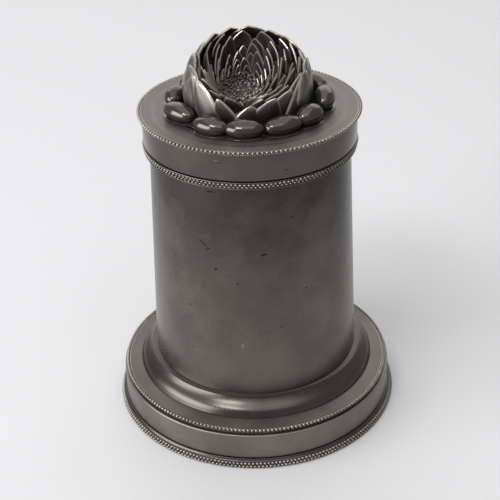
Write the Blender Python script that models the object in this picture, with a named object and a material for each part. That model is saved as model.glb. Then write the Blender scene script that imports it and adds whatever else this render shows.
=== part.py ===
"""A pewter column mould in three parts that pull apart: a base cap, an open body that widens downwards,
and a lid crowned with a many-petalled flower in a ring of fruit. Lengths are in millimetres and are
turned into metres when a mesh is made. Heights in an outline are measured from its assembly's seat."""

from math import acos, atan2, cos, degrees, pi, radians, sin, sqrt

import bmesh
import bpy
from mathutils import Vector

MM = 0.001
FLATS = 48  # flats round every turned piece
GAP = 0.3  # clearance between pieces that touch
SHEET = 2.0  # thickness of the rolled and cast walls
SHARP_ANGLE = radians(35)
WELD_DISTANCE = 1e-6  # metres
BEAD_SIDES = 6
FRONT = -90  # bearing of the -Y side, in degrees
QUARTER_TURN = 90

# Base cap, measured from the table
BAND_RADIUS = 68.4
BAND_WALL = 2.2
BAND_FOOT = 4.5
BAND_TOP = 17.8
BAND_CHAMFER = 0.6
FOOT_INNER_RADIUS = 60.0
FOOT_BEAD_RADIUS = 1.6
FOOT_BEAD_CIRCLE = 69.9
FOOT_BEAD_HEIGHT = 1.9

# Body, measured from the base band's top edge
BODY_SEAT = BAND_TOP + GAP
TUBE_TOP_RADIUS = 46.7
TUBE_FOOT_RADIUS = 51.3
TUBE_LENGTH = 133.9
FLANGE_RADIUS = 65.2
FLANGE_INNER_HEIGHT = 3.1
FLANGE_EDGE_HEIGHT = 2.0
FLANGE_BEAD_RADIUS = 1.1
FLANGE_BEAD_CIRCLE = 66.6
FLANGE_BEAD_HEIGHT = 1.3
OVOLO_INNER_RADIUS = 54.0
OVOLO_OUTER_RADIUS = 59.2
OVOLO_TOP = 11.2
OVOLO_FOOT = 4.1
OVOLO_FILLET = 0.5
OVOLO_POINTS = 6
SPIGOT_RADIUS = 65.7
SPIGOT_WALL = 1.8
SPIGOT_DEPTH = 8.0
COLLAR_FOOT = 120.3
COLLAR_TOP = 124.2
COLLAR_RADIUS = 50.2
COLLAR_GROOVE_RADIUS = 48.5
COLLAR_FILLET = 0.7
COLLAR_BEAD_RADIUS = 0.9
COLLAR_BEAD_CIRCLE = 49.7

# Lid, measured from the collar's top
LID_SEAT = BODY_SEAT + COLLAR_TOP + GAP
SKIRT_RADIUS = 49.9
SKIRT_DEPTH = 12.7
PLATE_RADIUS = 49.5
PLATE_THICKNESS = 1.6
PLATE_OPENING_RADIUS = 36.0
LID_BEAD_RADIUS = 1.1
LID_BEAD_CIRCLE = 51.0
LID_BEAD_HEIGHT = 14.0
PLATE_TOP = SKIRT_DEPTH + GAP + PLATE_THICKNESS
CROWN_FOOT = PLATE_TOP + GAP

# Ring of fruit round the flower: each fruit's bearing from the front, anticlockwise, and half its length
FRUIT_BEARINGS_AND_HALF_LENGTHS = (
    (-4, 8.8),
    (25, 9.2),
    (50, 7.8),
    (84, 9.2),
    (116, 8.6),
    (143, 8.4),
    (170, 8.2),
    (197, 8.4),
    (228, 9.2),
    (261, 8.6),
    (294, 9.4),
    (330, 8.6),
)
FRUIT_CIRCLE = 34.0
FRUIT_HALF_WIDTH = 5.0
FRUIT_HEIGHT = 8.6
FRUIT_WALL = 1.6
FRUIT_VALLEY = 0.5
FRUIT_POINTS = 6

# Flower: a hollow dome whose top is open in a deep cup, tipped a little forwards
DOME_RADIUS = 30.6
DOME_CENTRE = 4.2
DOME_NECK_RADIUS = 28.4
DOME_NECK_HEIGHT = 9.6
DOME_WALL = 2.4
DOME_RINGS = 16
CUP_ELEVATION = radians(68)
CUP_TURN = radians(4)
CUP_HALF_ANGLE = 53.0
CUP_DEPTH = 24.0
PETAL_COUNT = 9
PETAL_RELIEF = 0.5

PEWTER = (0.150, 0.146, 0.138)
WORN_PEWTER = (0.185, 0.180, 0.170)
DARK_PEWTER = (0.105, 0.102, 0.096)
SATIN = 0.4
RUBBED = 0.35
POLISHED = 0.3


def clear_scene():
    for thing in list(bpy.data.objects):
        bpy.data.objects.remove(thing, do_unlink=True)


def metal(name, colour, roughness):
    """A Principled material for one piece."""
    material = bpy.data.materials.new(name)
    material.use_nodes = True
    shader = material.node_tree.nodes["Principled BSDF"]
    shader.inputs["Base Color"].default_value = (*colour, 1.0)
    shader.inputs["Metallic"].default_value = 1.0
    shader.inputs["Roughness"].default_value = roughness
    return material


def seat(name, height, parent=None):
    """An empty on the mould's axis, where one assembly rests on the one below."""
    empty = bpy.data.objects.new(name, None)
    bpy.context.scene.collection.objects.link(empty)
    empty.parent = parent
    empty.location = (0, 0, height * MM)
    return empty


def add_piece(name, shape, parent, colour=PEWTER, roughness=SATIN):
    """Closes the poles, points the faces outwards, and hangs the piece on its assembly's empty."""
    bmesh.ops.remove_doubles(shape, verts=shape.verts, dist=WELD_DISTANCE)
    bmesh.ops.recalc_face_normals(shape, faces=shape.faces)
    mesh = bpy.data.meshes.new(name)
    shape.to_mesh(mesh)
    shape.free()
    mesh.shade_smooth()
    mesh.set_sharp_from_angle(angle=SHARP_ANGLE)
    piece = bpy.data.objects.new(name, mesh)
    piece.data.materials.append(metal(name, colour, roughness))
    bpy.context.scene.collection.objects.link(piece)
    piece.parent = parent
    return piece


def turned(name, outline, parent, **finish):
    """Spins an outline of (radius, height) points once round Z. It is closed unless it starts on the axis."""
    shape = bmesh.new()
    points = [shape.verts.new((radius * MM, 0, height * MM)) for radius, height in outline]
    edges = [shape.edges.new(pair) for pair in zip(points, points[1:])]
    if outline[0][0] > 0:
        edges.append(shape.edges.new((points[-1], points[0])))
    bmesh.ops.spin(
        shape,
        geom=points + edges,
        axis=(0, 0, 1),
        cent=(0, 0, 0),
        angle=2 * pi,
        steps=FLATS,
        use_merge=True,
    )
    return add_piece(name, shape, parent, **finish)


def cast(name, section, parent, **finish):
    """Joins the outlines that section(bearing) gives at each flat into one closed ring or dome."""
    shape = bmesh.new()
    rows = []
    for flat in range(FLATS):
        bearing = 2 * pi * flat / FLATS
        outline = section(bearing)
        rows.append([
            shape.verts.new((radius * MM * cos(bearing), radius * MM * sin(bearing), height * MM))
            for radius, height in outline
        ])
    count = len(outline)
    strips = range(count if outline[0][0] > 0 else count - 1)
    for row, following in zip(rows, rows[1:] + rows[:1]):
        for i in strips:
            j = (i + 1) % count
            shape.faces.new((row[i], row[j], following[j], following[i]))
    return add_piece(name, shape, parent, **finish)


def arc(centre, radii, start, end, points):
    """Points on an ellipse's arc, angles in degrees from +radius towards +height."""
    angles = [radians(start + (end - start) * i / (points - 1)) for i in range(points)]
    return [(centre[0] + radii[0] * cos(a), centre[1] + radii[1] * sin(a)) for a in angles]


def bead_wire(name, circle, height, radius, parent):
    """The envelope of a row of beads: a wire bent into a ring."""
    step = 360 / BEAD_SIDES
    outline = arc((circle, height), (radius, radius), step / 2, step / 2 - 360 + step, BEAD_SIDES)
    return turned(name, outline, parent, colour=WORN_PEWTER, roughness=RUBBED)


def tube_radius(height):
    """Outer radius of the body tube at a height above the body's seat."""
    return TUBE_FOOT_RADIUS + (TUBE_TOP_RADIUS - TUBE_FOOT_RADIUS) * height / TUBE_LENGTH


def build_base(origin):
    turned(
        "base_plate",
        [
            (0, BAND_FOOT + SHEET),
            (BAND_RADIUS - BAND_WALL - GAP, BAND_FOOT + SHEET),
            (BAND_RADIUS - BAND_WALL - GAP, BAND_FOOT),
            (0, BAND_FOOT),
        ],
        origin,
    )
    turned(
        "base_band",
        [
            (BAND_RADIUS - BAND_CHAMFER, BAND_TOP),
            (BAND_RADIUS, BAND_TOP - BAND_CHAMFER),
            (BAND_RADIUS, BAND_FOOT),
            (BAND_RADIUS - BAND_WALL, BAND_FOOT),
            (BAND_RADIUS - BAND_WALL, BAND_TOP),
        ],
        origin,
        colour=WORN_PEWTER,
    )
    foot_radius = FOOT_BEAD_CIRCLE - FOOT_BEAD_RADIUS - GAP
    turned(
        "foot_ring",
        [
            (foot_radius, BAND_FOOT - GAP),
            (foot_radius, 0),
            (FOOT_INNER_RADIUS, 0),
            (FOOT_INNER_RADIUS, BAND_FOOT - GAP),
        ],
        origin,
    )
    bead_wire("foot_bead_rim", FOOT_BEAD_CIRCLE, FOOT_BEAD_HEIGHT, FOOT_BEAD_RADIUS, origin)


def build_shoulder(body):
    """The flange that rests on the base, its moulding and the spigot that drops into the base."""
    turned(
        "shoulder_flange",
        [
            (OVOLO_OUTER_RADIUS, FLANGE_INNER_HEIGHT),
            (FLANGE_RADIUS, FLANGE_EDGE_HEIGHT),
            (FLANGE_RADIUS, 0),
            (TUBE_FOOT_RADIUS + GAP, 0),
            (TUBE_FOOT_RADIUS + GAP, FLANGE_INNER_HEIGHT),
        ],
        body,
    )
    bead_wire("flange_bead_rim", FLANGE_BEAD_CIRCLE, FLANGE_BEAD_HEIGHT, FLANGE_BEAD_RADIUS, body)
    inner_radius = tube_radius(OVOLO_FOOT) + GAP
    quarter_round = arc(
        (OVOLO_INNER_RADIUS + OVOLO_FILLET, OVOLO_FOOT),
        (OVOLO_OUTER_RADIUS - OVOLO_INNER_RADIUS - 2 * OVOLO_FILLET, OVOLO_TOP - OVOLO_FOOT - OVOLO_FILLET),
        90,
        0,
        OVOLO_POINTS,
    )
    turned(
        "shoulder_moulding",
        [(inner_radius, OVOLO_TOP), (OVOLO_INNER_RADIUS, OVOLO_TOP)]
        + quarter_round
        + [
            (OVOLO_OUTER_RADIUS, OVOLO_FOOT),
            (OVOLO_OUTER_RADIUS, FLANGE_INNER_HEIGHT + GAP),
            (inner_radius, FLANGE_INNER_HEIGHT + GAP),
        ],
        body,
        colour=DARK_PEWTER,
    )
    turned(
        "base_spigot",
        [
            (SPIGOT_RADIUS, -GAP),
            (SPIGOT_RADIUS, -SPIGOT_DEPTH),
            (SPIGOT_RADIUS - SPIGOT_WALL, -SPIGOT_DEPTH),
            (SPIGOT_RADIUS - SPIGOT_WALL, -GAP),
        ],
        body,
    )


def build_body(body):
    turned(
        "body_tube",
        [
            (TUBE_TOP_RADIUS, TUBE_LENGTH),
            (TUBE_FOOT_RADIUS, 0),
            (TUBE_FOOT_RADIUS - SHEET, 0),
            (TUBE_TOP_RADIUS - SHEET, TUBE_LENGTH),
        ],
        body,
    )
    inner_radius = tube_radius(COLLAR_FOOT) + GAP
    turned(
        "collar_ring",
        [
            (COLLAR_RADIUS, COLLAR_TOP),
            (COLLAR_RADIUS, COLLAR_TOP - COLLAR_FILLET),
            (COLLAR_GROOVE_RADIUS, COLLAR_TOP - COLLAR_FILLET),
            (COLLAR_GROOVE_RADIUS, COLLAR_FOOT + COLLAR_FILLET),
            (COLLAR_RADIUS, COLLAR_FOOT + COLLAR_FILLET),
            (COLLAR_RADIUS, COLLAR_FOOT),
            (inner_radius, COLLAR_FOOT),
            (inner_radius, COLLAR_TOP),
        ],
        body,
    )
    bead_height = (COLLAR_FOOT + COLLAR_TOP) / 2
    bead_wire("collar_bead_row", COLLAR_BEAD_CIRCLE, bead_height, COLLAR_BEAD_RADIUS, body)
    build_shoulder(body)


def fruit_fullness(bearing):
    """1 at the middle of a fruit, falling to FRUIT_VALLEY between two of them."""
    fullness = FRUIT_VALLEY
    from_front = degrees(bearing) - FRONT
    for middle, half_length in FRUIT_BEARINGS_AND_HALF_LENGTHS:
        away = (from_front - middle + 180) % 360 - 180
        along = FRUIT_CIRCLE * sin(radians(away)) / half_length
        if abs(away) < QUARTER_TURN and abs(along) < 1:
            fullness = max(fullness, sqrt(1 - along * along))
    return fullness


def fruit_section(bearing):
    """The fruit's skin at one bearing: it swells outwards and upwards, and keeps to the flower's neck inside."""
    fullness = fruit_fullness(bearing)
    inner_edge = DOME_NECK_RADIUS + GAP
    outer_edge = FRUIT_CIRCLE + FRUIT_HALF_WIDTH * fullness
    centre = ((inner_edge + outer_edge) / 2, CROWN_FOOT)
    half_width = (outer_edge - inner_edge) / 2
    height = FRUIT_HEIGHT * fullness
    outer = arc(centre, (half_width, height), 180, 0, FRUIT_POINTS)
    inner = arc(centre, (half_width - FRUIT_WALL, height - FRUIT_WALL), 0, 180, FRUIT_POINTS)
    return outer + inner


def petal_radius(direction):
    """Distance from the dome's centre to its surface: petals round the cup's axis, and the cup itself."""
    level = cos(CUP_ELEVATION)
    cup_axis = Vector((-sin(CUP_TURN) * level, -cos(CUP_TURN) * level, sin(CUP_ELEVATION)))
    side = cup_axis.cross(Vector((0, 0, 1))).normalized()
    rise = side.cross(cup_axis)
    away = degrees(acos(max(-1.0, min(1.0, direction.dot(cup_axis)))))
    round_axis = atan2(direction.dot(rise), direction.dot(side))
    radius = DOME_RADIUS + PETAL_RELIEF * cos(PETAL_COUNT * round_axis) * sin(radians(away))
    if away < CUP_HALF_ANGLE:
        radius -= CUP_DEPTH * (1 + cos(pi * away / CUP_HALF_ANGLE)) / 2
    return radius


def dome_section(bearing):
    """Down the outside from the top to the neck, then up the inside."""
    neck_angle = degrees(acos(DOME_NECK_RADIUS / DOME_RADIUS))
    outer = []
    inner = []
    for i in range(DOME_RINGS):
        elevation = radians(90 + (neck_angle - 90) * i / (DOME_RINGS - 1))
        level = cos(elevation) if i else 0.0
        direction = Vector((level * cos(bearing), level * sin(bearing), sin(elevation)))
        radius = petal_radius(direction)
        outer.append((radius * level, CROWN_FOOT + DOME_CENTRE + radius * sin(elevation)))
        radius -= DOME_WALL
        inner.append((radius * level, CROWN_FOOT + DOME_CENTRE + radius * sin(elevation)))
    neck_top = CROWN_FOOT + DOME_NECK_HEIGHT
    outer += [(DOME_NECK_RADIUS, neck_top), (DOME_NECK_RADIUS, CROWN_FOOT)]
    inner += [(DOME_NECK_RADIUS - DOME_WALL, neck_top), (DOME_NECK_RADIUS - DOME_WALL, CROWN_FOOT)]
    return outer + inner[::-1]


def build_lid(lid):
    turned(
        "lid_skirt",
        [
            (SKIRT_RADIUS, SKIRT_DEPTH),
            (SKIRT_RADIUS, 0),
            (SKIRT_RADIUS - SHEET, 0),
            (SKIRT_RADIUS - SHEET, SKIRT_DEPTH),
        ],
        lid,
    )
    turned(
        "lid_plate",
        [
            (PLATE_RADIUS, PLATE_TOP),
            (PLATE_RADIUS, SKIRT_DEPTH + GAP),
            (PLATE_OPENING_RADIUS, SKIRT_DEPTH + GAP),
            (PLATE_OPENING_RADIUS, PLATE_TOP),
        ],
        lid,
    )
    bead_wire("lid_bead_rim", LID_BEAD_CIRCLE, LID_BEAD_HEIGHT, LID_BEAD_RADIUS, lid)
    cast("fruit_ring", fruit_section, lid, colour=DARK_PEWTER, roughness=POLISHED)
    cast("flower_dome", dome_section, lid, colour=DARK_PEWTER, roughness=POLISHED)


def main():
    clear_scene()
    base_origin = seat("base_origin", 0)
    body_seat = seat("body_seat", BODY_SEAT, base_origin)
    lid_seat = seat("lid_seat", LID_SEAT - BODY_SEAT, body_seat)
    build_base(base_origin)
    build_body(body_seat)
    build_lid(lid_seat)


main()
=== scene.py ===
from math import cos, degrees, hypot, pi, radians, sin

import bmesh
import bpy
from mathutils import Matrix, Quaternion, Vector


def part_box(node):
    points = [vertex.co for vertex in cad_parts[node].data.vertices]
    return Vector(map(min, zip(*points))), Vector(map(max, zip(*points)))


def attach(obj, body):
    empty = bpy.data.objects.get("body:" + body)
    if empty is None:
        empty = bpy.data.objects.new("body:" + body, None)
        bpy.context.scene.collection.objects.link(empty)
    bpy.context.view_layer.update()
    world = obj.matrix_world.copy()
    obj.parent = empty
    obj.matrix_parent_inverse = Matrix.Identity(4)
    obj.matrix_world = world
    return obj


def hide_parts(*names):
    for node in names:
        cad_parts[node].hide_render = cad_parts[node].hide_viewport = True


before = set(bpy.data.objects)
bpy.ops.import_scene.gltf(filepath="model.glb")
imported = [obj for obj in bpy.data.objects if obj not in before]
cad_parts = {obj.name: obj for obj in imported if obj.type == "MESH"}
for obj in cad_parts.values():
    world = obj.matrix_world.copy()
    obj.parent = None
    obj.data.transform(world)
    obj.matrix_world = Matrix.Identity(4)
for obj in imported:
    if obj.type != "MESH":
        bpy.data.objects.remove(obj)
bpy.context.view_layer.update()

scene = bpy.context.scene
scene.view_settings.view_transform = "Standard"

MM = 0.001
FLATS = 288  # flats round a turned piece
CORNER_STEPS = 5  # points round an eased corner
SHARP_ANGLE = radians(40)


# Camera and studio

CAMERA_PLACE = Vector((0.0, -0.4740, 0.3595))
CAMERA_AIM = Vector((0.0, 0.0, 0.0739))
CAMERA_LENS = 79.9
CAMERA_PAN = radians(-0.172)
CAMERA_TILT = radians(0.504)
CAMERA_ROLL = radians(-1.606)

SOFTBOXES = (  # name, place, width and height in metres, radiance
    ("key_softbox", (-0.50, -0.72, 1.16), 0.42, 0.28, 19.0),
    ("side_softbox", (-1.85, -0.80, 0.70), 1.9, 1.3, 8.5),
    ("overhead_softbox", (0.0, 0.1, 2.0), 2.4, 2.4, 1.0),
    ("back_softbox", (0.1, 1.5, 1.05), 2.8, 1.2, 1.5),
    ("front_softbox", (0.2, -1.3, 2.0), 1.8, 1.2, 1.5),
)
SOFTBOX_AIM = Vector((0, 0, 0.1))
ROOM_COLOUR = (0.95, 0.94, 0.95, 1)
ROOM_STRENGTH = 0.46

FLOOR_SIDE = 30.0
FLOOR_COLOUR = (0.47, 0.465, 0.475, 1)
FLOOR_ROUGHNESS = 0.6


def make_camera():
    lens = bpy.data.cameras.new("camera")
    lens.lens = CAMERA_LENS
    lens.sensor_width = 36
    lens.clip_start = 0.01
    lens.clip_end = 50
    camera = bpy.data.objects.new("camera", lens)
    scene.collection.objects.link(camera)
    camera.location = CAMERA_PLACE
    camera.rotation_mode = "QUATERNION"
    aim = (CAMERA_AIM - CAMERA_PLACE).to_track_quat("-Z", "Y")
    pan = Quaternion((0, 1, 0), -CAMERA_PAN)
    tilt = Quaternion((1, 0, 0), CAMERA_TILT)
    roll = Quaternion((0, 0, 1), CAMERA_ROLL)
    camera.rotation_quaternion = aim @ pan @ tilt @ roll
    scene.camera = camera


def softbox(name, place, width, height, radiance):
    """A rectangular light aimed at the middle of the mould."""
    light = bpy.data.lights.new(name, "AREA")
    light.shape = "RECTANGLE"
    light.size = width
    light.size_y = height
    light.energy = radiance * pi * width * height
    lamp = bpy.data.objects.new(name, light)
    scene.collection.objects.link(lamp)
    lamp.location = place
    lamp.rotation_mode = "QUATERNION"
    lamp.rotation_quaternion = (SOFTBOX_AIM - Vector(place)).to_track_quat("-Z", "Y")


def light_studio():
    for name, place, width, height, radiance in SOFTBOXES:
        softbox(name, place, width, height, radiance)
    world = bpy.data.worlds.new("studio")
    scene.world = world
    world.use_nodes = True
    background = world.node_tree.nodes["Background"]
    background.inputs["Color"].default_value = ROOM_COLOUR
    background.inputs["Strength"].default_value = ROOM_STRENGTH


# Arithmetic with node sockets

class Value:
    """A socket in a node tree that takes part in sums, so a tree reads like its formula."""

    def __init__(self, tree, socket):
        self.tree = tree
        self.socket = socket

    def math(self, operation, *others):
        made = self.tree.nodes.new("ShaderNodeMath")
        made.operation = operation
        for slot, item in zip(made.inputs, (self, *others)):
            plug(self.tree, item, slot)
        return Value(self.tree, made.outputs[0])

    def __add__(self, other):
        return self.math("ADD", other)

    def __radd__(self, other):
        return self.math("ADD", other)

    def __sub__(self, other):
        return self.math("SUBTRACT", other)

    def __rsub__(self, other):
        return (self * -1) + other

    def __mul__(self, other):
        return self.math("MULTIPLY", other)

    def __rmul__(self, other):
        return self.math("MULTIPLY", other)

    def __truediv__(self, other):
        return self.math("DIVIDE", other)

    def __pow__(self, other):
        return self.math("POWER", other)

    def clipped(self, low=0.0, high=1.0):
        return self.math("MAXIMUM", low).math("MINIMUM", high)


def plug(tree, item, slot):
    """Links a Value to a socket, or sets a plain number on it."""
    if isinstance(item, Value):
        tree.links.new(item.socket, slot)
    else:
        slot.default_value = item


def mixed(start, end, share):
    """start where share is 0, end where it is 1."""
    return start + (end - start) * share


# Pewter

WARMTH = (1.06, 1.0, 0.88)  # red, green and blue of the metal, as shares of its tone
DARK_SHARE = 0.62  # the metal at its most tarnished, as a share of its tone
LIGHT_SHARE = 1.42
TARNISH_SCALE = 34  # how many features of a pattern there are in a metre
CLOUD_SCALE = 9
GRAIN_SCALE = 900
TURNING_SCALE = 2400
FLECK_SCALE = 210
RAGGED_SCALE = 700
RAGGED_EDGE = 1.2 * MM  # how far a nick's edge wanders
TURNING_SLOPE = 1.31  # turning lines up a wall, for each one across a flat
SCRATCH_SCALES = (90, 1500, 900)  # level, upright, and how the scratches lean
PAINTED_SHADE_HEIGHTS = (0.06, 0.155)  # painted shade: the column is painted darker between these heights, in metres
# painted reflection of the floor: the column's foot is painted lighter below these heights, in metres
PAINTED_FOOT_REFLECTION_HEIGHTS = (0.026, 0.05)
DARKEST_METAL = -0.3
DARKEST_NICK = -0.6
NICK_DEPTH = -0.06  # mm


class Finish:
    """The nodes that every pewter finish shares."""

    def __init__(self, name):
        self.material = bpy.data.materials.new(name)
        self.material.use_nodes = True
        self.tree = self.material.node_tree
        self.shader = self.tree.nodes["Principled BSDF"]
        place = self.tree.nodes.new("ShaderNodeTexCoord").outputs["Object"]
        self.place = Value(self.tree, place)
        parts = self.tree.nodes.new("ShaderNodeSeparateXYZ")
        self.tree.links.new(place, parts.inputs[0])
        self.x, self.y, self.z = [Value(self.tree, part) for part in parts.outputs]
        self.radius = (self.x * self.x + self.y * self.y).math("SQRT")

    def vector(self, x, y, z):
        made = self.tree.nodes.new("ShaderNodeCombineXYZ")
        for item, slot in zip((x, y, z), made.inputs):
            plug(self.tree, item, slot)
        return Value(self.tree, made.outputs[0])

    def noise(self, place, scale, detail=4.0, roughness=0.55, lines=False):
        made = self.tree.nodes.new("ShaderNodeTexNoise")
        made.noise_dimensions = "1D" if lines else "3D"
        plug(self.tree, place, made.inputs["W" if lines else "Vector"])
        made.inputs["Scale"].default_value = scale
        made.inputs["Detail"].default_value = detail
        made.inputs["Roughness"].default_value = roughness
        return Value(self.tree, made.outputs[0])

    def wear_and_sheen(self, name):
        """How much lighter the metal is, which the mesh carries: partly rubbed wear and partly painted
        highlight.
        """
        made = self.tree.nodes.new("ShaderNodeAttribute")
        made.attribute_name = name
        return Value(self.tree, made.outputs["Fac"])

    def spread(self, value, low, high):
        """0 below low, 1 above high, smooth between."""
        made = self.tree.nodes.new("ShaderNodeMapRange")
        made.interpolation_type = "SMOOTHSTEP"
        plug(self.tree, value, made.inputs["Value"])
        made.inputs["From Min"].default_value = low
        made.inputs["From Max"].default_value = high
        return Value(self.tree, made.outputs["Result"])

    def mark(self, x, height, length, thickness, slant):
        """1 on a short ragged nick in the front of the piece, 0 away from it."""
        ragged = (self.noise(self.place, RAGGED_SCALE, 2.0) - 0.5) * RAGGED_EDGE
        right = self.x - x + ragged
        up = self.z - height + ragged
        along = (right * cos(slant) + up * sin(slant)) / length
        over = (up * cos(slant) - right * sin(slant)) / thickness
        away = (along * along + over * over).math("SQRT")
        front = self.y.math("LESS_THAN", 0.0)
        return (1 - self.spread(away, 0.5, 1.0)) * front

    def colour(self, dark, light, share):
        made = self.tree.nodes.new("ShaderNodeMix")
        made.data_type = "RGBA"
        made.clamp_factor = False
        plug(self.tree, share, made.inputs["Factor"])
        made.inputs["A"].default_value = (*dark, 1)
        made.inputs["B"].default_value = (*light, 1)
        self.tree.links.new(made.outputs["Result"], self.shader.inputs["Base Color"])

    def rough(self, value):
        plug(self.tree, value, self.shader.inputs["Roughness"])

    def bump(self, height, distance):
        made = self.tree.nodes.new("ShaderNodeBump")
        made.inputs["Distance"].default_value = distance
        plug(self.tree, height, made.inputs["Height"])
        self.tree.links.new(made.outputs["Normal"], self.shader.inputs["Normal"])


def shade(tone, factor):
    """A slightly warm grey, scaled."""
    return tuple(tone * factor * warmth for warmth in WARMTH)


def pewter(
    name,
    tone,
    roughness,
    turned=1.0,
    rubbed=0.5,
    pitted=0.5,
    crests=0.0,
    painted_height_shade=0.0,
    metallic=0.9,
    marks=(),
):
    """Old pewter: patchy tarnish, fine turning lines, small pits, hairline scratches and chosen nicks, with
    painted shade and a painted floor reflection by height, and lighter crests that are partly rubbed wear and
    partly painted highlight.
    """
    finish = Finish(name)
    finish.shader.inputs["Metallic"].default_value = metallic
    tarnish = finish.noise(finish.place, TARNISH_SCALE, 5.0, 0.6)
    cloud = finish.noise(finish.place, CLOUD_SCALE, 2.0)
    grain = finish.noise(finish.place, GRAIN_SCALE, 3.0, 0.7)
    across_lines = finish.radius + finish.z * TURNING_SLOPE
    lines = finish.noise(across_lines, TURNING_SCALE, 3.0, 0.65, lines=True)
    level, upright, lean = SCRATCH_SCALES
    streaks = finish.vector(finish.x * level, finish.y * level, finish.z * upright + finish.x * lean)
    scratch = finish.spread(finish.noise(streaks, 1.0, 1.0), 0.70, 0.76)
    fleck = finish.spread(finish.noise(finish.place, FLECK_SCALE, 2.0), 0.70, 0.78)
    patches = finish.spread(tarnish, 0.36, 0.66)
    light = patches * 0.34 + cloud * 0.42 + grain * 0.14 + lines * 0.16 * turned - 0.02
    light = light + scratch * 0.25 * rubbed - fleck * 0.45 * pitted
    # Painted shade towards the top of the column, and a painted reflection of the floor at its foot.
    if painted_height_shade:
        light = light - finish.spread(finish.z, *PAINTED_SHADE_HEIGHTS) * painted_height_shade
        light = light + (1 - finish.spread(finish.z, *PAINTED_FOOT_REFLECTION_HEIGHTS)) * painted_height_shade * 0.25
    # Lighter crests carried by the mesh: partly rubbed wear and partly painted highlight.
    if crests:
        light = light + finish.wear_and_sheen("crest") * crests
    light = light.math("MAXIMUM", DARKEST_METAL)
    nicks = 0.0
    # A mark's tint lightens or darkens the metal's colour in it; on the skirt's dent this paints its shade
    # and its highlight.
    for right, height, length, thickness, slant, tint in marks:
        nick = finish.mark(right * MM, height * MM, length * MM, thickness * MM, radians(slant))
        light = light + nick * tint
        nicks = nick * NICK_DEPTH + nicks
    finish.colour(shade(tone, DARK_SHARE), shade(tone, LIGHT_SHARE), light.math("MAXIMUM", DARKEST_NICK))
    uneven = (tarnish - 0.5) * 0.22 + (grain - 0.5) * 0.10 + fleck * 0.15 * pitted
    finish.rough((roughness + uneven).clipped(0.12, 0.8))
    relief = lines * 0.010 * turned + grain * 0.006 + tarnish * 0.05
    relief = relief - scratch * 0.006 * rubbed - fleck * 0.02 * pitted
    finish.bump(relief + nicks, MM)
    return finish.material


# Old nicks in the front of the mould: place to the right of the axis, height, half-length and half-width in
# millimetres, slant in degrees, and how much lighter the metal is in them.
COLUMN_MARKS = (
    (-22.5, 109.2, 2.8, 0.5, -35, -0.9),
    (-20.2, 106.8, 1.0, 0.6, 20, -0.8),
    (4.7, 105.2, 2.1, 0.45, 8, -1.1),
    (-17.1, 96.9, 0.7, 0.6, 0, -1.0),
    (-7.4, 90.3, 0.6, 0.5, 0, -0.9),
    (-6.1, 56.8, 1.3, 0.35, 85, 1.6),
    (-18.2, 135.3, 1.9, 0.5, -8, -0.8),
    (24.0, 84.0, 0.7, 0.5, 0, -0.9),
    (12.0, 66.0, 0.6, 0.5, 0, -0.8),
    (-30.0, 74.0, 0.7, 0.5, 0, -0.8),
    (17.5, 122.0, 0.6, 0.5, 0, -0.8),
)
# A dent in the lid's skirt: a dark mark for its painted shade with a light mark just above it for its painted
# highlight, and one more dark nick.
SKIRT_MARKS = (
    (-14.8, 151.5, 2.2, 0.35, -3, -0.9),
    (-15.2, 152.2, 1.8, 0.30, -3, 0.8),
    (15.0, 147.0, 1.1, 0.4, 0, -0.7),
)


def make_pewters():
    return {
        "column": pewter("column_pewter", 0.110, 0.28, turned=0.6, painted_height_shade=0.8, marks=COLUMN_MARKS),
        "turned": pewter("turned_pewter", 0.078, 0.22, marks=SKIRT_MARKS),
        "lid_top": pewter("lid_top_pewter", 0.102, 0.42, turned=0.5),
        "ledge": pewter("ledge_pewter", 0.098, 0.42, turned=0.4),
        # The base band's metal is lighter, partly from wear and partly as a painted reflection of the floor
        # in front.
        "wear_and_sheen": pewter("worn_pewter", 0.15, 0.36, turned=0.6, rubbed=1.0),
        "ovolo": pewter("dark_smooth_pewter", 0.056, 0.27, turned=0.3, rubbed=0.3),
        "beads": pewter("beaded_pewter", 0.18, 0.16, turned=0.0, pitted=0.2),
        "petals": pewter(
            "petal_pewter", 0.047, 0.30, turned=0.0, rubbed=0.3, pitted=0.3, crests=6.2, metallic=0.7,
        ),
        "fruit": pewter("fruit_pewter", 0.058, 0.13, turned=0.0, rubbed=0.3, pitted=0.2, metallic=0.75),
        "heart": pewter("heart_pewter", 0.052, 0.32, turned=0.0, rubbed=1.0, crests=3.6, metallic=0.7),
        "inside": pewter("inner_pewter", 0.15, 0.45, turned=1.0),
    }


def make_floor():
    material = bpy.data.materials.new("pale_floor")
    material.use_nodes = True
    shader = material.node_tree.nodes["Principled BSDF"]
    shader.inputs["Base Color"].default_value = FLOOR_COLOUR
    shader.inputs["Roughness"].default_value = FLOOR_ROUGHNESS
    mesh = bpy.data.meshes.new("floor")
    half = FLOOR_SIDE / 2
    corners = [(-half, -half, 0), (half, -half, 0), (half, half, 0), (-half, half, 0)]
    mesh.from_pydata(corners, [], [(0, 1, 2, 3)])
    floor = bpy.data.objects.new("floor", mesh)
    mesh.materials.append(material)
    scene.collection.objects.link(floor)


# Turned pieces

EASE = 0.3  # how far a corner's rounding reaches, mm
MOST_EASE = 0.49  # of the shorter side
LEAST_EASE = 0.02  # mm
WELD = 1e-6  # metres
TUBE_WALL = 2.0  # mm, as for the next two
BAND_WALL = 2.2
NECK_WALL = 1.8
FOOT_INNER_RADIUS = 60.0
PLATE_OPENING_RADIUS = 36.0
OVOLO_TOP_RADIUS = 53.5
FLOOR_GROOVES = (14.0, 30.0, 46.0)
LID_GROOVES = (41.5, 43.0, 46.6, 47.6, 48.9)


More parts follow.
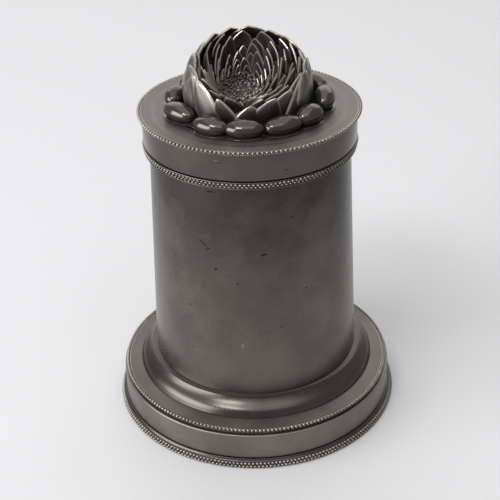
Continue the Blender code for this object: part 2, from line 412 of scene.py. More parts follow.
def eased(corners, ease=EASE):
    """A closed outline in millimetres with its corners rounded. A corner can give its own ease."""
    points = []
    count = len(corners)
    for i, corner in enumerate(corners):
        here = Vector(corner[:2])
        before = Vector(corners[i - 1][:2]) - here
        after = Vector(corners[(i + 1) % count][:2]) - here
        reach = corner[2] if len(corner) > 2 else ease
        reach = min(reach, before.length * MOST_EASE, after.length * MOST_EASE)
        if reach < LEAST_EASE:
            points.append(tuple(here))
            continue
        start = here + before.normalized() * reach
        end = here + after.normalized() * reach
        for step in range(CORNER_STEPS):
            t = step / (CORNER_STEPS - 1)
            points.append(tuple(start * (1 - t) ** 2 + here * 2 * t * (1 - t) + end * t ** 2))
    return points


def swelled(start, end, hollow, rise, points):
    """Points from start to end along an S: a slight hollow first, then a swell."""
    chord = Vector(end) - Vector(start)
    outwards = Vector((-chord.y, chord.x)).normalized()
    bowed = []
    for i in range(points):
        t = i / (points - 1)
        offset = rise * sin(pi * t) - hollow * sin(2 * pi * t)
        bowed.append(tuple(Vector(start) + chord * t + outwards * offset))
    return bowed


def mesh_of(shape, name):
    """The mesh of a finished shape, its doubles merged, its faces turned out and its sharp edges kept."""
    bmesh.ops.remove_doubles(shape, verts=shape.verts, dist=WELD)
    bmesh.ops.recalc_face_normals(shape, faces=shape.faces)
    mesh = bpy.data.meshes.new(name)
    shape.to_mesh(mesh)
    shape.free()
    mesh.shade_smooth()
    mesh.set_sharp_from_angle(angle=SHARP_ANGLE)
    return mesh


def add_piece(name, mesh, material, body, stands_for):
    """Puts a finished mesh in the scene, on its body, in place of the CAD node that it stands for."""
    piece = bpy.data.objects.new(name, mesh)
    scene.collection.objects.link(piece)
    mesh.materials.clear()
    mesh.materials.append(material)
    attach(piece, body)
    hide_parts(stands_for)


def spun(name, outline):
    """Spins a closed outline, in millimetres, once round Z. One that starts on the axis stays open there."""
    shape = bmesh.new()
    points = [shape.verts.new((radius * MM, 0, height * MM)) for radius, height in outline]
    edges = [shape.edges.new(pair) for pair in zip(points, points[1:])]
    if outline[0][0] > 0:
        edges.append(shape.edges.new((points[-1], points[0])))
    bmesh.ops.spin(
        shape,
        geom=points + edges,
        axis=(0, 0, 1),
        cent=(0, 0, 0),
        angle=2 * pi,
        steps=FLATS,
        use_merge=True,
    )
    return mesh_of(shape, name)


def add_turned(name, outline, material, body, stands_for):
    add_piece(name, spun(name, outline), material, body, stands_for)


def ring_of(ring):
    """A CAD ring's outer radius and its lowest and highest points, in millimetres."""
    low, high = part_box(ring)
    return high.x / MM, low.z / MM, high.z / MM


def tube_radii():
    """The tube's outer radius at its foot and at its top, in millimetres, from the CAD solid."""
    _, low, high = ring_of("body_tube")
    points = [point.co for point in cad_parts["body_tube"].data.vertices]
    end = 1  # mm
    foot = max(hypot(p.x, p.y) for p in points if p.z / MM < low + end)
    top = max(hypot(p.x, p.y) for p in points if p.z / MM > high - end)
    return foot / MM, top / MM


# Beaded wires

WIRE_SHARE = 0.24  # a wire's radius, as a share of its beads' height
BEAD_UNEVENNESS = 0.05


def geometry_tree(name, sizes):
    """An empty geometry tree with a named input for each size, and the sizes' values by name."""
    tree = bpy.data.node_groups.new(name, "GeometryNodeTree")
    tree.interface.new_socket("Geometry", in_out="INPUT", socket_type="NodeSocketGeometry")
    for label, default in sizes.items():
        kind = "NodeSocketInt" if isinstance(default, int) else "NodeSocketFloat"
        tree.interface.new_socket(label, in_out="INPUT", socket_type=kind).default_value = default
    tree.interface.new_socket("Material", in_out="INPUT", socket_type="NodeSocketMaterial")
    tree.interface.new_socket("Geometry", in_out="OUTPUT", socket_type="NodeSocketGeometry")
    inputs = tree.nodes.new("NodeGroupInput")
    values = {label: Value(tree, inputs.outputs[label]) for label in (*sizes, "Geometry", "Material")}
    return tree, values


def add_node(tree, kind, settings=None, **inputs):
    """A node with its properties and its inputs set or linked. An input's name has _ for a space."""
    made = tree.nodes.new(kind)
    for setting, value in (settings or {}).items():
        setattr(made, setting, value)
    for label, item in inputs.items():
        plug(tree, item, made.inputs[label.replace("_", " ")])
    return made


def out(made, label=0):
    return Value(made.id_data, made.outputs[label])


def joined(tree, shapes):
    join = tree.nodes.new("GeometryNodeJoinGeometry")
    for shape in shapes:
        tree.links.new(shape.socket, join.inputs[0])
    return out(join)


def finish_tree(tree, shape, material):
    """Every tree ends the same way: instances made real, shaded smooth, and the metal set."""
    real = add_node(tree, "GeometryNodeRealizeInstances", Geometry=shape)
    smooth = add_node(tree, "GeometryNodeSetShadeSmooth", Geometry=out(real))
    coated = add_node(tree, "GeometryNodeSetMaterial", Geometry=out(smooth), Material=material)
    result = tree.nodes.new("NodeGroupOutput")
    tree.links.new(coated.outputs[0], result.inputs[0])


def grown(name, tree, sizes, material, seed_mesh=None):
    """Runs a geometry tree with these sizes and returns the plain mesh it makes."""
    host = bpy.data.objects.new(name + "_host", seed_mesh or bpy.data.meshes.new(name + "_host"))
    scene.collection.objects.link(host)
    modifier = host.modifiers.new("grow", "NODES")
    modifier.node_group = tree
    for item in tree.interface.items_tree:
        if item.in_out == "INPUT" and item.name in sizes:
            modifier[item.identifier] = sizes[item.name]
        elif item.in_out == "INPUT" and item.name == "Material":
            modifier[item.identifier] = material
    graph = bpy.context.evaluated_depsgraph_get()
    mesh = bpy.data.meshes.new_from_object(host.evaluated_get(graph))
    mesh.name = name
    host.modifiers.remove(modifier)
    bpy.data.objects.remove(host)
    return mesh


def bead_tree():
    """A ring of pearls on a wire. Sizes are in metres."""
    sizes = {
        "Beads": 180,
        "Circle Radius": 0.05,
        "Height": 0.1,
        "Bead Width": 0.0018,
        "Bead Height": 0.002,
        "Wire Radius": 0.0006,
        "Wire Inset": 0.0004,
        "Unevenness": 0.05,
        "Seed": 1,
    }
    tree, size = geometry_tree("bead_row", sizes)
    circle = add_node(tree, "GeometryNodeMeshCircle", Vertices=size["Beads"], Radius=size["Circle Radius"])
    lift = add_node(tree, "ShaderNodeCombineXYZ", Z=size["Height"])
    raised = add_node(tree, "GeometryNodeTransform", Geometry=out(circle), Translation=out(lift))
    pearl = add_node(tree, "GeometryNodeMeshUVSphere", Segments=8, Rings=6, Radius=0.5)
    uneven = add_node(tree, "FunctionNodeRandomValue", {"data_type": "FLOAT"}, Seed=size["Seed"])
    plug(tree, 1 - size["Unevenness"], uneven.inputs[2])
    plug(tree, 1 + size["Unevenness"], uneven.inputs[3])
    uneven_size = Value(tree, uneven.outputs[1])
    scale = add_node(
        tree,
        "ShaderNodeCombineXYZ",
        X=size["Bead Width"] * uneven_size,
        Y=size["Bead Width"] * uneven_size,
        Z=size["Bead Height"] * uneven_size,
    )
    pearls = add_node(
        tree,
        "GeometryNodeInstanceOnPoints",
        Points=out(raised),
        Instance=out(pearl),
        Scale=out(scale),
    )
    wire_path = add_node(
        tree,
        "GeometryNodeCurvePrimitiveCircle",
        Resolution=size["Beads"],
        Radius=size["Circle Radius"] - size["Wire Inset"],
    )
    section = add_node(tree, "GeometryNodeCurvePrimitiveCircle", Resolution=10, Radius=size["Wire Radius"])
    wire = add_node(tree, "GeometryNodeCurveToMesh", Curve=out(wire_path), Profile_Curve=out(section))
    raised_wire = add_node(tree, "GeometryNodeTransform", Geometry=out(wire), Translation=out(lift))
    finish_tree(tree, joined(tree, [out(pearls), out(raised_wire)]), size["Material"])
    return tree


def pearls(name, tree, beads, circle, height, width, tall, turn, metal, seed):
    """The mesh of one ring of beads. Lengths are in millimetres, and turn is in beads."""
    sizes = {
        "Beads": beads,
        "Circle Radius": circle * MM,
        "Height": height * MM,
        "Bead Width": width * MM,
        "Bead Height": tall * MM,
        "Wire Radius": tall * WIRE_SHARE * MM,
        "Wire Inset": width * 0.5 * MM,
        "Unevenness": BEAD_UNEVENNESS,
        "Seed": seed,
    }
    mesh = grown(name, tree, sizes, metal)
    mesh.transform(Matrix.Rotation(turn * 2 * pi / beads, 4, "Z"))
    return mesh


def bead_row(name, tree, stands_for, body, rows, metal):
    """Rings of beads in place of a CAD wire. A row is beads, circle, height, bead width and height, turn."""
    meshes = [pearls(name, tree, *row, metal, seed) for seed, row in enumerate(rows)]
    add_piece(name, merged(meshes, name), metal, body, stands_for)


# Base cap

def build_base(metals, beads):
    band_radius, band_foot, band_top = ring_of("base_band")
    _, _, foot_top = ring_of("foot_ring")
    plate_radius, plate_foot, plate_top = ring_of("base_plate")
    rim_radius, rim_foot, rim_top = ring_of("foot_bead_rim")
    wall = [
        (band_radius - 0.1, band_top, 0.7),
        (band_radius, band_foot + 0.5, 0.1),
        (band_radius - 0.45, band_foot, 0.2),
        (band_radius - BAND_WALL, band_foot, 0.1),
        (band_radius - BAND_WALL, band_top, 0.5),
    ]
    add_turned("base_wall", eased(wall), metals["wear_and_sheen"], "base", "base_band")
    flare = [
        (band_radius - 0.6, foot_top + 0.15, 0.2),
        (band_radius + 0.45, foot_top + 0.1, 0.3),
        (band_radius + 0.65, foot_top - 0.4, 0.2),
        (band_radius + 1.2, foot_top - 1.0, 0.9),
        (rim_radius - 1.1, rim_top - 0.35, 0.4),
        (rim_radius - 0.9, 0.25, 0.4),
        (rim_radius - 2.2, 0.0, 0.4),
        (FOOT_INNER_RADIUS, 0.0, 0.3),
        (FOOT_INNER_RADIUS, foot_top, 0.3),
        (FOOT_INNER_RADIUS + 6.0, foot_top, 0.1),
    ]
    add_turned("foot_flare", eased(flare), metals["ovolo"], "base", "foot_ring")
    floor = [(0, plate_top)]
    for groove in FLOOR_GROOVES:
        floor += [(groove - 0.5, plate_top), (groove, plate_top - 0.25), (groove + 0.5, plate_top)]
    floor += [(plate_radius - 0.4, plate_top), (plate_radius, plate_top - 0.4)]
    floor += [(plate_radius, plate_foot + 0.4), (plate_radius - 0.4, plate_foot), (0, plate_foot)]
    add_turned("base_floor", floor, metals["inside"], "base", "base_plate")
    rows = [
        (238, rim_radius - 1.15, rim_foot + 2.2, 1.7, 1.6, 0.0),
        (238, rim_radius - 0.75, rim_foot + 0.85, 1.7, 1.6, 0.5),
    ]
    bead_row("foot_beads", beads, "foot_bead_rim", "base", rows, metals["beads"])


# Body

def build_shoulder(metals, beads):
    ledge_radius, ledge_foot, ledge_top = ring_of("shoulder_flange")
    ovolo_radius, ovolo_foot, ovolo_top = ring_of("shoulder_moulding")
    neck_radius, neck_foot, neck_top = ring_of("base_spigot")
    rim_radius, rim_foot, rim_top = ring_of("flange_bead_rim")
    tube_foot, _ = tube_radii()
    ledge = [
        (ovolo_radius + 0.5, ledge_top - 0.05, 0.3),
        (ledge_radius + 0.5, ledge_foot + 1.95, 0.4),
        (ledge_radius + 0.8, ledge_foot + 0.3, 0.3),
        (ledge_radius - 0.4, ledge_foot, 0.3),
        (tube_foot + 0.3, ledge_foot, 0.2),
        (tube_foot + 0.3, ledge_top - 0.05, 0.2),
    ]
    add_turned("shoulder_ledge", eased(ledge), metals["ledge"], "body", "shoulder_flange")
    tube_here = tube_foot - 0.4
    ovolo = [
        (tube_here, ovolo_top + 0.45),
        (tube_here + 0.75, ovolo_top + 0.4),
        (tube_here + 1.2, ovolo_top + 0.1),
        (OVOLO_TOP_RADIUS - 0.3, ovolo_top - 0.1),
        (OVOLO_TOP_RADIUS - 0.15, ovolo_top - 0.45),
    ]
    swell_start = (OVOLO_TOP_RADIUS, ovolo_top - 0.7)
    swell_end = (ovolo_radius - 0.1, ovolo_foot + 0.5)
    ovolo += swelled(swell_start, swell_end, hollow=0.25, rise=0.45, points=30)
    ovolo += [
        (ovolo_radius + 0.1, ovolo_foot + 0.2),
        (ovolo_radius + 0.15, ovolo_foot - 0.35),
        (tube_here, ovolo_foot - 0.35),
    ]
    add_turned("ovolo_moulding", ovolo, metals["ovolo"], "body", "shoulder_moulding")
    neck = [
        (neck_radius, neck_top),
        (neck_radius, neck_foot),
        (neck_radius - NECK_WALL, neck_foot),
        (neck_radius - NECK_WALL, neck_top),
    ]
    add_turned("fitting_neck", eased(neck, 0.5), metals["inside"], "body", "base_spigot")
    rows = [(218, rim_radius - 0.95, (rim_foot + rim_top) / 2 + 0.3, 1.85, 2.1, 0.0)]
    bead_row("flange_beads", beads, "flange_bead_rim", "body", rows, metals["beads"])


def build_body(metals, beads):
    foot, top = tube_radii()
    _, low, high = ring_of("body_tube")
    column = [(top, high, 0.8), (foot, low, 0.3), (foot - TUBE_WALL, low, 0.3), (top - TUBE_WALL, high, 0.8)]
    add_turned("body_column", eased(column), metals["column"], "body", "body_tube")
    collar_radius, collar_foot, collar_top = ring_of("collar_ring")
    tube_here = top + (foot - top) * (high - collar_foot) / (high - low)
    collar = [
        (collar_radius - 0.1, collar_top, 0.5),
        (collar_radius, collar_top - 0.55, 0.25),
        (collar_radius - 0.9, collar_top - 0.75, 0.1),
        (collar_radius - 0.9, collar_foot + 1.05, 0.1),
        (collar_radius - 0.25, collar_foot + 0.9, 0.2),
        (collar_radius - 0.25, collar_foot + 0.35, 0.2),
        (collar_radius - 1.3, collar_foot, 0.3),
        (tube_here + 0.05, collar_foot - 0.3, 0.1),
        (tube_here + 0.05, collar_top, 0.1),
    ]
    add_turned("collar_moulding", eased(collar), metals["turned"], "body", "collar_ring")
    middle = (collar_foot + collar_top) / 2
    rows = [
        (162, collar_radius - 0.55, middle + 0.75, 1.6, 1.25, 0.0),
        (162, collar_radius - 0.65, middle - 0.40, 1.4, 1.0, 0.5),
    ]
    bead_row("collar_beads", beads, "collar_bead_row", "body", rows, metals["beads"])
    build_shoulder(metals, beads)


# Lid

def build_lid(metals, beads):
    skirt_radius, skirt_foot, skirt_top = ring_of("lid_skirt")
    plate_radius, plate_foot, plate_top = ring_of("lid_plate")
    rim_radius, rim_foot, rim_top = ring_of("lid_bead_rim")
    skirt = [
        (skirt_radius, skirt_top + 0.2, 0.1),
        (skirt_radius, skirt_foot + 0.15, 0.6),
        (skirt_radius - TUBE_WALL, skirt_foot + 0.15, 0.35),
        (skirt_radius - TUBE_WALL, skirt_top + 0.2, 0.1),
    ]
    add_turned("lid_wall", eased(skirt), metals["turned"], "lid", "lid_skirt")
    plate = [
        (rim_radius - 1.0, plate_foot + 0.25, 0.3),
        (plate_radius, plate_foot, 0.1),
        (PLATE_OPENING_RADIUS, plate_foot, 0.1),
        (PLATE_OPENING_RADIUS, plate_top, 0.1),
    ]
    for groove in LID_GROOVES:
        plate += [
            (groove - 0.14, plate_top, 0.05),
            (groove, plate_top - 0.10, 0.05),
            (groove + 0.14, plate_top, 0.05),
        ]
    plate += [(rim_radius - 1.8, plate_top + 0.05, 0.3), (rim_radius - 1.0, plate_top - 0.5, 0.3)]
    add_turned("lid_top", eased(plate[::-1]), metals["lid_top"], "lid", "lid_plate")
    middle = (rim_foot + rim_top) / 2
    rows = [
        (158, rim_radius - 0.85, middle + 0.3, 1.75, 1.55, 0.0),
        (316, rim_radius - 1.15, middle - 0.75, 0.85, 0.9, 0.0),
    ]
    bead_row("lid_beads", beads, "lid_bead_rim", "lid", rows, metals["beads"])


# Fruit and flower on the lid

# Listed fruit by fruit: bearing from the front and twist in degrees, half-length and half-height in mm
FRUITS = (
    (-4, 0, 8.8, 4.2),
    (25, 0, 9.2, 4.2),
    (50, 0, 7.8, 4.7),
    (84, 0, 9.2, 5.1),
    (116, 0, 8.6, 4.7),
    (143, 4, 8.4, 4.3),
    (170, 0, 8.2, 4.5),
    (197, -4, 8.4, 4.3),
    (228, 0, 9.2, 4.5),
    (261, 0, 8.6, 4.5),
    (294, 18, 9.4, 4.2),
    (330, 0, 8.6, 4.1),
)
FRUIT_CIRCLE = 34.5
FRUIT_HALF_WIDTH = 5.0
FRUIT_SINK = 1.1

FLOWER_CENTRE = 161.7  # height of the middle of the flower's ball, mm
BALL_RADIUS = 29.6
NECK_RADIUS = 28.3
CUP_ELEVATION = radians(68)
CUP_RIM = radians(75)  # from the cup's axis, as for the next
CUP_FOOT = radians(70)
CUP_FLOOR = 2.4  # from the ball's middle, mm
CUP_BOTTOM = -4.1  # where the ball is cut off, mm
NECK_TOP = 5.4  # below this height the ball is drawn in to its neck, mm
SHIFT_START = 24.4  # rows with their tips inside this radius shift towards the heart, mm
HEART_SHIFT = -5.2  # how far the heart sits to the left of the cup's axis, mm
HEART_HEIGHT = 3.9
HEART_RADIUS = 11.2
HEART_MARGIN = 0.6  # how far inside the cushion's edge the florets end
FLOWER_WALL = 1.2
PETAL_THICKNESS = 0.75  # mm, and a little more on a wide petal
THICKNESS_SHARE = 0.05  # of its half-width
LAP_SHARE = 0.10
HOLLOW_SHARE = 0.24
PETAL_UNEVENNESS = 0.09
RIM_CRISPNESS = 10  # how narrow the lighter edge of a petal is, partly rubbed wear and partly painted highlight
TIP_CRISPNESS = 14
FLORET_SPACING = 1.25
FLORET_SIZES = (0.55, 1.5)
FLORET_LEAN = 0.8  # radians, either way
FLORET_SHAPE = (1.05, 0.6, 0.95)
FLORET_SEED = 4
CUSHION_HEIGHT = 0.8
CUSHION_SINK = 0.7
FRUIT_FOOT_SPREAD = (1.03, 1.05)  # of the fruit's length and width
FRUIT_FOOT_HEIGHT = 0.5

TIPPED = degrees(CUP_ELEVATION)

# Rows of petals from outside to inside: name, petals, first and last angle, tip radius and height, base
# radius and height, half-width, sweep, belly, bluntness, painted sheen (how much lighter the whole row is
# painted), and the elevation of the row's axis. Angles go round from the front, in degrees, and lengths are
# in millimetres.
PETAL_ROWS = (
    ("sheath", 17, 64, 302, 27.2, 14.8, 28.8, -3.6, 5.8, 28, 1.8, 2.6, 0.0, 90),
    ("wrap", 12, 86, 282, 25.9, 17.9, 28.6, 4.0, 8.8, 24, 1.6, 4.6, 0.15, TIPPED),
    ("rim_back", 10, 84, 264, 23.8, 17.9, 24.0, 9.0, 5.2, 22, 0.9, 1.8, 0.28, TIPPED),
    ("rim_right", 3, 24, 72, 24.3, 17.8, 26.4, 6.6, 7.0, 30, 0.6, 1.8, 0.0, TIPPED),
    ("rim_left", 4, -37, -84, 24.3, 17.6, 26.6, 6.6, 5.4, 24, 0.6, 1.8, 0.0, TIPPED),
    ("front_petal", 1, 1, 1, 24.0, 17.2, 26.4, 6.6, 7.6, 0, 0.7, 1.9, 0.0, TIPPED),
    ("second", 15, 16, 330, 21.2, 17.0, 19.4, 8.0, 4.4, 22, 0.5, 1.6, 0.16, TIPPED),
    ("third", 16, 30, 322, 18.3, 15.3, 16.2, 6.6, 3.6, 20, 0.4, 1.6, 0.12, TIPPED),
    ("fourth", 16, 38, 316, 15.7, 13.0, 13.9, 5.2, 3.0, 18, 0.3, 1.6, 0.14, TIPPED),
    ("fifth", 16, 30, 324, 13.6, 10.4, 12.2, 3.8, 2.6, 16, 0.3, 1.6, 0.14, TIPPED),
    ("sixth", 17, 22, 330, 11.9, 7.9, 11.0, 2.4, 2.1, 14, 0.2, 1.6, 0.12, TIPPED),
    ("seventh", 15, 30, 322, 10.2, 6.0, 9.6, 1.8, 1.7, 12, 0.2, 1.6, 0.08, TIPPED),
)


def vector_math(tree, operation, *items):
    made = tree.nodes.new("ShaderNodeVectorMath")
    made.operation = operation
    for item, slot in zip(items, made.inputs):
        plug(tree, item, slot)
    return out(made, "Value" if operation in ("DOT_PRODUCT", "LENGTH") else "Vector")


def scaled(tree, vector, factor):
    made = tree.nodes.new("ShaderNodeVectorMath")
    made.operation = "SCALE"
    plug(tree, vector, made.inputs["Vector"])
    plug(tree, factor, made.inputs["Scale"])
    return out(made, "Vector")


def with_crest(tree, shape, rubbing_and_sheen):
    """The shape, with how much lighter each point is stored on it for its metal to read: partly rubbed wear
    and partly painted highlight.
    """
    made = add_node(
        tree,
        "GeometryNodeStoreNamedAttribute",
        Geometry=shape,
        Name="crest",
        Value=rubbing_and_sheen,
    )
    return out(made)


def on_ring(tree, angle, radius, height, elevation, shift):
    """The point at this angle from the front, on a ring round an axis tipped forwards to this elevation."""
    forward = angle.math("COSINE") * radius
    level = elevation.math("COSINE")
    steep = elevation.math("SINE")
    made = add_node(
        tree,
        "ShaderNodeCombineXYZ",
        X=angle.math("SINE") * radius + shift,
        Y=-1 * (forward * steep + height * level),
        Z=height * steep - forward * level,
    )
    return out(made)


def petal_tree():
    """Pointed petals round a tipped axis, each swept up from its base to its tip and lapped over the next."""
    sizes = {
        "Petals": 6,
        "First Angle": 0.0,
        "Last Angle": pi,
        "Tip Radius": 24.0,
        "Tip Height": 18.0,
        "Base Radius": 28.0,
        "Base Height": 8.0,
        "Half Width": 7.0,
        "Sweep": 0.5,
        "Belly": 1.0,
        "Shift": 0.0,
        "Lap": 0.9,
        "Hollow": 0.8,
        "Thickness": 0.9,
        "Bluntness": 2.5,
        "Painted Sheen": 0.0,
        "Unevenness": 0.06,
        "Elevation": 1.3,
        "Seed": 1,
    }
    tree, size = geometry_tree("petal_row", sizes)
    blade = add_node(tree, "GeometryNodeMeshCube", Vertices_X=11, Vertices_Y=3, Vertices_Z=12)
    place = out(add_node(tree, "GeometryNodeInputPosition"))
    shaped = add_node(tree, "GeometryNodeCaptureAttribute", Geometry=out(blade))
    shaped.capture_items.new("VECTOR", "Blade")
    plug(tree, place, shaped.inputs["Blade"])
    line = add_node(tree, "GeometryNodeMeshLine", Count=size["Petals"])
    index = out(add_node(tree, "GeometryNodeInputIndex"))
    chance = add_node(tree, "FunctionNodeRandomValue", {"data_type": "FLOAT"}, Seed=size["Seed"])
    plug(tree, -1 * size["Unevenness"], chance.inputs[2])
    plug(tree, size["Unevenness"], chance.inputs[3])
    uneven = Value(tree, chance.outputs[1])
    share = index / (size["Petals"] - 1).math("MAXIMUM", 1.0)
    turn = mixed(size["First Angle"], size["Last Angle"], share) + uneven
    points = add_node(tree, "GeometryNodeCaptureAttribute", Geometry=out(line))
    points.capture_items.new("FLOAT", "Turn")
    points.capture_items.new("FLOAT", "Chance")
    plug(tree, turn, points.inputs["Turn"])
    plug(tree, uneven, points.inputs["Chance"])
    copies = add_node(tree, "GeometryNodeInstanceOnPoints", Points=out(points), Instance=out(shaped))
    real = add_node(tree, "GeometryNodeRealizeInstances", Geometry=out(copies))

    parts = add_node(tree, "ShaderNodeSeparateXYZ", Vector=out(shaped, "Blade"))
    across, through, along = [Value(tree, part) for part in parts.outputs]
    across = (across * pi).math("SINE")
    along = along + 0.5
    angle = out(points, "Turn")
    chance = out(points, "Chance")
    side = angle.math("SIGN")
    base_angle = angle - size["Sweep"] * angle.math("SINE")
    elevation = size["Elevation"]
    tip_height = size["Tip Height"] * (1 + chance)
    tip = on_ring(tree, angle, size["Tip Radius"], tip_height, elevation, size["Shift"])
    base = on_ring(tree, base_angle, size["Base Radius"], size["Base Height"], elevation, size["Shift"])
    reach = vector_math(tree, "SUBTRACT", tip, base)
    chord = vector_math(tree, "NORMALIZE", reach)
    straight = vector_math(tree, "ADD", base, scaled(tree, reach, along))
    outwards = vector_math(tree, "NORMALIZE", straight)
    crosswise = vector_math(tree, "NORMALIZE", vector_math(tree, "CROSS_PRODUCT", chord, outwards))
    face = vector_math(tree, "CROSS_PRODUCT", crosswise, chord)
    leaf = (1 - along ** size["Bluntness"]).math("MAXIMUM", 0.0) ** 0.8
    width = size["Half Width"] * leaf * (0.88 + 0.12 * (along * pi).math("SINE")) * (1 + chance)
    lap = across * side * size["Lap"] * leaf * -1
    hollow = (across.math("ABSOLUTE") * 0.6 + across * across * 0.4) * size["Hollow"] * leaf
    bulge = size["Belly"] * 4 * along * (1 - along)
    rim = across.math("ABSOLUTE") ** RIM_CRISPNESS
    edge = size["Thickness"] * (1 - 0.3 * along)
    lift = bulge + lap - hollow - through * edge
    rounding = across * rim * edge * 0.5 * (1 - 4 * through * through)
    shape = vector_math(tree, "ADD", straight, scaled(tree, crosswise, across * width + rounding))
    shape = vector_math(tree, "ADD", shape, scaled(tree, face, lift))
    placed = add_node(tree, "GeometryNodeSetPosition", Geometry=out(real), Position=shape)
    # Lighter metal on each petal: the row's painted sheen all over, and its edges and tip, partly rubbed wear
    # and partly painted highlight.
    crest = (size["Painted Sheen"] + rim + along ** TIP_CRISPNESS).clipped()
    finish_tree(tree, with_crest(tree, out(placed), crest), size["Material"])
    return tree


def cup_axis():
    return Vector((0, -cos(CUP_ELEVATION), sin(CUP_ELEVATION)))


def flower_frame():
    """Millimetres round the flower's middle to metres in the scene."""
    return Matrix.Translation((0, 0, FLOWER_CENTRE * MM)) @ Matrix.Scale(MM, 4)


def merged(meshes, name):
    """One mesh from several, with doubles merged and its faces turned outwards."""
    shape = bmesh.new()
    for mesh in meshes:
        shape.from_mesh(mesh)
    return mesh_of(shape, name)


def build_petals(metals):
    tree = petal_tree()
    rows = []
    for seed, row in enumerate(PETAL_ROWS):
        name, petals, first, last, tip_radius, tip_height, base_radius, base_height = row[:8]
        width, sweep, belly, blunt, rubbing_and_sheen, elevation = row[8:]
        depth = max(0.0, min(1.0, (SHIFT_START - tip_radius) / (SHIFT_START - HEART_RADIUS)))
        sizes = {
            "Petals": petals,
            "First Angle": radians(first),
            "Last Angle": radians(last),
            "Tip Radius": tip_radius,
            "Tip Height": tip_height,
            "Base Radius": base_radius,
            "Base Height": base_height,
            "Half Width": width,
            "Sweep": radians(sweep),
            "Belly": belly,
            "Shift": HEART_SHIFT * depth ** 1.5,
            "Lap": LAP_SHARE * width,
            "Hollow": HOLLOW_SHARE * width,
            "Thickness": PETAL_THICKNESS + THICKNESS_SHARE * width,
            "Bluntness": blunt,
            "Painted Sheen": rubbing_and_sheen,
            "Unevenness": PETAL_UNEVENNESS,
            "Elevation": radians(elevation),
            "Seed": seed,
        }
        rows.append(grown(name, tree, sizes, metals["petals"]))
    petals = merged(rows, "flower_petals")
    petals.transform(flower_frame())
    add_piece("flower_petals", petals, metals["petals"], "lid", "flower_dome")


def cup_depth(away):
    """Distance from the flower's middle to its skin, this far in angle from the cup's axis."""
    if away > CUP_RIM:
        return BALL_RADIUS
    floor = CUP_FLOOR / cos(min(away, CUP_FOOT))
    share = max(0.0, away - CUP_FOOT) / (CUP_RIM - CUP_FOOT)
    return floor + (BALL_RADIUS - floor) * share


def build_flower_cup(metals):
    """The hollow ball that the petals stand on, with its cup, and the same skin again inside it."""
    shape = bmesh.new()
    axis = cup_axis()
    bmesh.ops.create_uvsphere(shape, u_segments=96, v_segments=72, radius=1)
    turn = Vector((0, 0, 1)).rotation_difference(axis)
    for point in shape.verts:
        direction = turn @ point.co.normalized()
        distance = cup_depth(direction.angle(axis))
        spot = direction * distance
        round_neck = hypot(spot.x, spot.y)
        if spot.z < NECK_TOP and round_neck > NECK_RADIUS:
            spot.x *= NECK_RADIUS / round_neck
            spot.y *= NECK_RADIUS / round_neck
        point.co = spot
    bmesh.ops.bisect_plane(
        shape,
        geom=shape.verts[:] + shape.edges[:] + shape.faces[:],
        plane_co=(0, 0, CUP_BOTTOM),
        plane_no=(0, 0, -1),
        clear_outer=True,
    )
    bmesh.ops.recalc_face_normals(shape, faces=shape.faces)
    bmesh.ops.solidify(shape, geom=shape.faces[:], thickness=FLOWER_WALL)
    mesh = mesh_of(shape, "flower_cup")
    mesh.transform(flower_frame())
    add_piece("flower_cup", mesh, metals["petals"], "lid", "flower_dome")


def floret_tree():
    """A disc of tiny crowded florets, each a small tipped oval."""
    sizes = {"Heart Radius": 10.0, "Spacing": 1.5, "Seed": FLORET_SEED}
    tree, size = geometry_tree("florets", sizes)
    filled = {"fill_type": "NGON"}
    disc = add_node(tree, "GeometryNodeMeshCircle", filled, Vertices=48, Radius=size["Heart Radius"])
    spread = add_node(
        tree,
        "GeometryNodeDistributePointsOnFaces",
        {"distribute_method": "POISSON"},
        Mesh=out(disc),
        Distance_Min=size["Spacing"],
        Density_Max=3.0,
        Seed=size["Seed"],
    )
    grain = add_node(tree, "GeometryNodeMeshUVSphere", Segments=8, Rings=5, Radius=1.0)
    place = add_node(tree, "ShaderNodeSeparateXYZ", Vector=out(add_node(tree, "GeometryNodeInputPosition")))
    bearing = out(place, "Y").math("ARCTAN2", out(place, "X"))
    grow = add_node(tree, "FunctionNodeRandomValue", {"data_type": "FLOAT"}, Seed=size["Seed"])
    smallest, largest = FLORET_SIZES
    plug(tree, smallest, grow.inputs[2])
    plug(tree, largest, grow.inputs[3])
    growth = Value(tree, grow.outputs[1])
    lean = add_node(tree, "FunctionNodeRandomValue", {"data_type": "FLOAT"}, Seed=size["Seed"] + 1)
    plug(tree, -FLORET_LEAN, lean.inputs[2])
    plug(tree, FLORET_LEAN, lean.inputs[3])
    lean = Value(tree, lean.outputs[1])
    turn = add_node(tree, "ShaderNodeCombineXYZ", X=lean, Z=bearing + lean + pi / 2)
    long, thin, tall = [growth * share for share in FLORET_SHAPE]
    scale = add_node(tree, "ShaderNodeCombineXYZ", X=long, Y=thin, Z=tall)
    grains = add_node(
        tree,
        "GeometryNodeInstanceOnPoints",
        Points=out(spread),
        Instance=out(grain),
        Rotation=out(turn),
        Scale=out(scale),
    )
    real = add_node(tree, "GeometryNodeRealizeInstances", Geometry=out(grains))
    # The florets are made lighter towards the heart's lower right, by position.
    rubbed = ((out(place, "X") - out(place, "Y")) / size["Heart Radius"] * 0.5 + 0.3).clipped()
    finish_tree(tree, with_crest(tree, out(real), rubbed), size["Material"])
    return tree


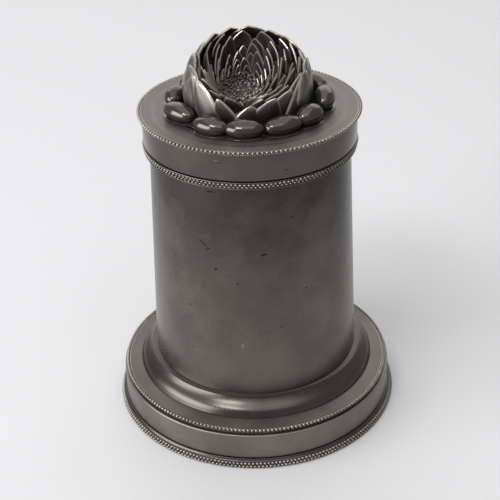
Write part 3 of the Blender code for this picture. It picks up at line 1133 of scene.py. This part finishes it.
def build_heart(metals):
    sizes = {"Heart Radius": HEART_RADIUS - HEART_MARGIN, "Spacing": FLORET_SPACING, "Seed": FLORET_SEED}
    florets = grown("florets", floret_tree(), sizes, metals["heart"])
    pad = bmesh.new()
    bmesh.ops.create_uvsphere(pad, u_segments=48, v_segments=16, radius=1)
    for point in pad.verts:
        x, y, z = point.co
        point.co = Vector((x * HEART_RADIUS, y * HEART_RADIUS, z * CUSHION_HEIGHT - CUSHION_SINK))
    cushion = mesh_of(pad, "cushion")
    heart = merged([florets, cushion], "flower_heart")
    axis = cup_axis()
    place = Matrix.Translation(Vector((HEART_SHIFT, 0, 0)) + axis * HEART_HEIGHT)
    turn = Vector((0, 0, 1)).rotation_difference(axis).to_matrix().to_4x4()
    heart.transform(flower_frame() @ place @ turn)
    add_piece("flower_heart", heart, metals["heart"], "lid", "flower_dome")


def fruit_tree():
    """Smooth ovals in a ring, each with its own length and height, on thin feet of the same outline."""
    sizes = {"Circle Radius": 34.0, "Half Width": 5.0, "Sink": 0.9}
    tree, size = geometry_tree("fruit_wreath", sizes)

    def stored(name):
        made = add_node(tree, "GeometryNodeInputNamedAttribute", {"data_type": "FLOAT"}, Name=name)
        return out(made, "Attribute")

    bearing = stored("bearing")
    height = stored("half_height")
    length = stored("half_length")
    turn = add_node(tree, "ShaderNodeCombineXYZ", Z=bearing + stored("twist"))
    fruit = add_node(tree, "GeometryNodeMeshUVSphere", Segments=40, Rings=24, Radius=1.0)

    def ring_of_ovals(lift, half_length, half_width, half_height):
        spot = add_node(
            tree,
            "ShaderNodeCombineXYZ",
            X=bearing.math("SINE") * size["Circle Radius"],
            Y=bearing.math("COSINE") * size["Circle Radius"] * -1,
            Z=lift,
        )
        scale = add_node(tree, "ShaderNodeCombineXYZ", X=half_length, Y=half_width, Z=half_height)
        placed = add_node(
            tree, "GeometryNodeSetPosition", Geometry=size["Geometry"], Position=out(spot),
        )
        copies = add_node(
            tree,
            "GeometryNodeInstanceOnPoints",
            Points=out(placed),
            Instance=out(fruit),
            Rotation=out(turn),
            Scale=out(scale),
        )
        return out(copies)

    fruits = ring_of_ovals(height - size["Sink"], length, size["Half Width"], height)
    longer, wider = FRUIT_FOOT_SPREAD
    feet = ring_of_ovals(0.0, length * longer, size["Half Width"] * wider, FRUIT_FOOT_HEIGHT)
    finish_tree(tree, joined(tree, [fruits, feet]), size["Material"])
    return tree


def build_fruit(metals):
    low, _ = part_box("fruit_ring")
    foot = low.z / MM
    seeds = bpy.data.meshes.new("fruit_places")
    seeds.from_pydata([(0, 0, 0)] * len(FRUITS), [], [])
    one_degree = radians(1)
    columns = (("bearing", one_degree), ("twist", one_degree), ("half_length", 1), ("half_height", 1))
    for column, (name, unit) in enumerate(columns):
        values = seeds.attributes.new(name, "FLOAT", "POINT")
        values.data.foreach_set("value", [fruit[column] * unit for fruit in FRUITS])
    sizes = {"Circle Radius": FRUIT_CIRCLE, "Half Width": FRUIT_HALF_WIDTH, "Sink": FRUIT_SINK}
    wreath = grown("fruit_wreath", fruit_tree(), sizes, metals["fruit"], seeds)
    wreath.transform(Matrix.Translation((0, 0, low.z)) @ Matrix.Scale(MM, 4))
    bed_outline = [(35.5, foot + 0.3), (35.5, foot), (27.6, foot), (27.6, foot + 2.2), (30.5, foot + 1.2)]
    bed = spun("bed", eased(bed_outline, 0.5))
    wreath = merged([wreath, bed], "fruit_wreath")
    add_piece("fruit_wreath", wreath, metals["fruit"], "lid", "fruit_ring")


def main():
    make_camera()
    light_studio()
    make_floor()
    metals = make_pewters()
    beads = bead_tree()
    build_base(metals, beads)
    build_body(metals, beads)
    build_lid(metals, beads)
    build_fruit(metals)
    build_flower_cup(metals)
    build_petals(metals)
    build_heart(metals)


main()
